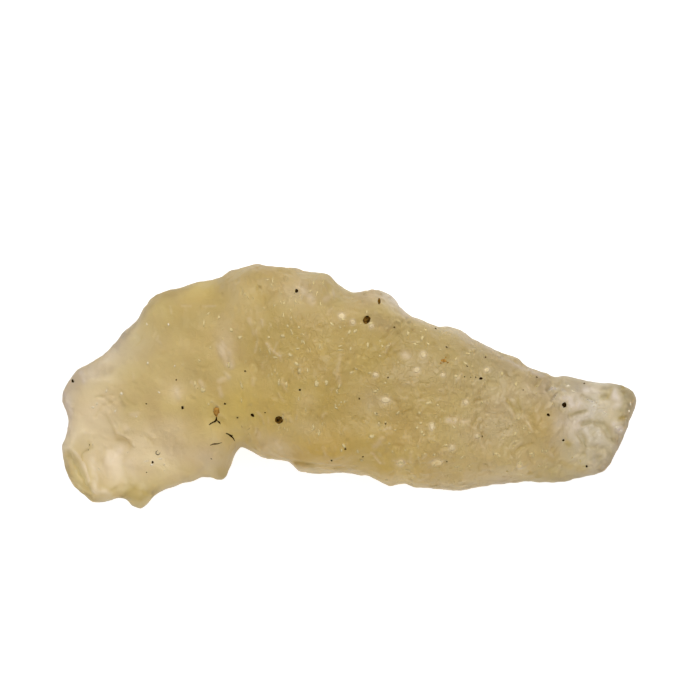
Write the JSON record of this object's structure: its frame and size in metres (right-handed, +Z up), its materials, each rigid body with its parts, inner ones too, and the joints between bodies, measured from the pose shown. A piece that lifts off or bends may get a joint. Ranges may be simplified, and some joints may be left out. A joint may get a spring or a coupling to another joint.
{
  "type": "libyan desert glass",
  "caption": "Elongated wind-worn fragment of honey-yellow natural silica glass, thick in the middle, with a hollowed broad end and a thin clear tip.",
  "frame": {"origin": "middle of the length and width, on the surface the stone lies on", "axes": "+X along the length from the hollowed broad end to the thin tip, +Y across the width towards the arched side, +Z up through the thickness"},
  "size_m": [0.046, 0.0196, 0.0097],
  "materials": {
    "desert_glass": "see-through honey-yellow glass with a wind-frosted, pitted skin",
    "cristobalite": "pale dull mineral",
    "dark_grain": "dull dark brown to black mineral",
    "rust_grain": "dull orange-brown iron stain"
  },
  "bodies": {
    "root": {"libyan_desert_glass": "desert_glass"}
  },
  "joints": []
}
